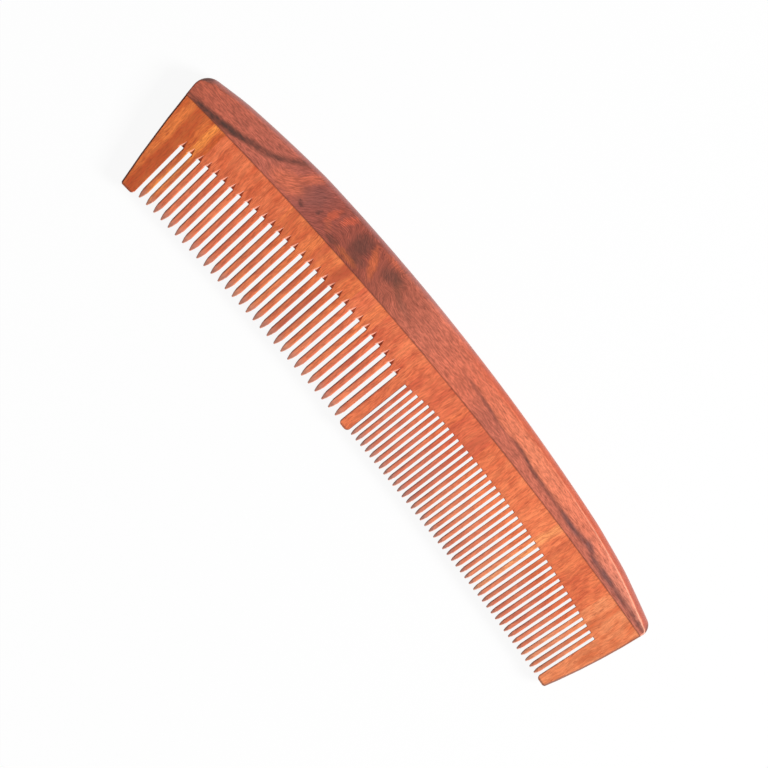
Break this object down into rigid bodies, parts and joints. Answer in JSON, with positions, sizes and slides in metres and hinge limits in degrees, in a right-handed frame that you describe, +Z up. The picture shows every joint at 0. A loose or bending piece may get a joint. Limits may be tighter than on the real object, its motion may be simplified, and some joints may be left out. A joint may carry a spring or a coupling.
{
  "type": "comb",
  "caption": "Flat wooden comb with an arched long-grain spine over glued staves sawn into a fan of teeth, coarse in one half and fine in the other, with wide guards.",
  "frame": {"origin": "mid-length on the underside, halfway across the spine, where the comb rests on its spine and web", "axes": "+X along the comb to the fine end, +Y away from the teeth to the back edge, +Z up out of the upper face"},
  "size_m": [0.18, 0.043, 0.007],
  "materials": {
    "spine_wood": "fine-sanded red-brown hardwood with dark streaks, waxed to a soft sheen",
    "stave_wood": "fine-sanded orange-red hardwood with the grain along the teeth, waxed to a soft sheen"
  },
  "bodies": {
    "root": {"spine": "spine_wood", "coarse_guard_stave": "stave_wood", "coarse_outer_stave": "stave_wood", "coarse_middle_stave": "stave_wood", "coarse_inner_stave": "stave_wood", "fine_inner_stave": "stave_wood", "fine_middle_stave": "stave_wood", "fine_outer_stave": "stave_wood", "fine_guard_stave": "stave_wood"}
  },
  "joints": []
}
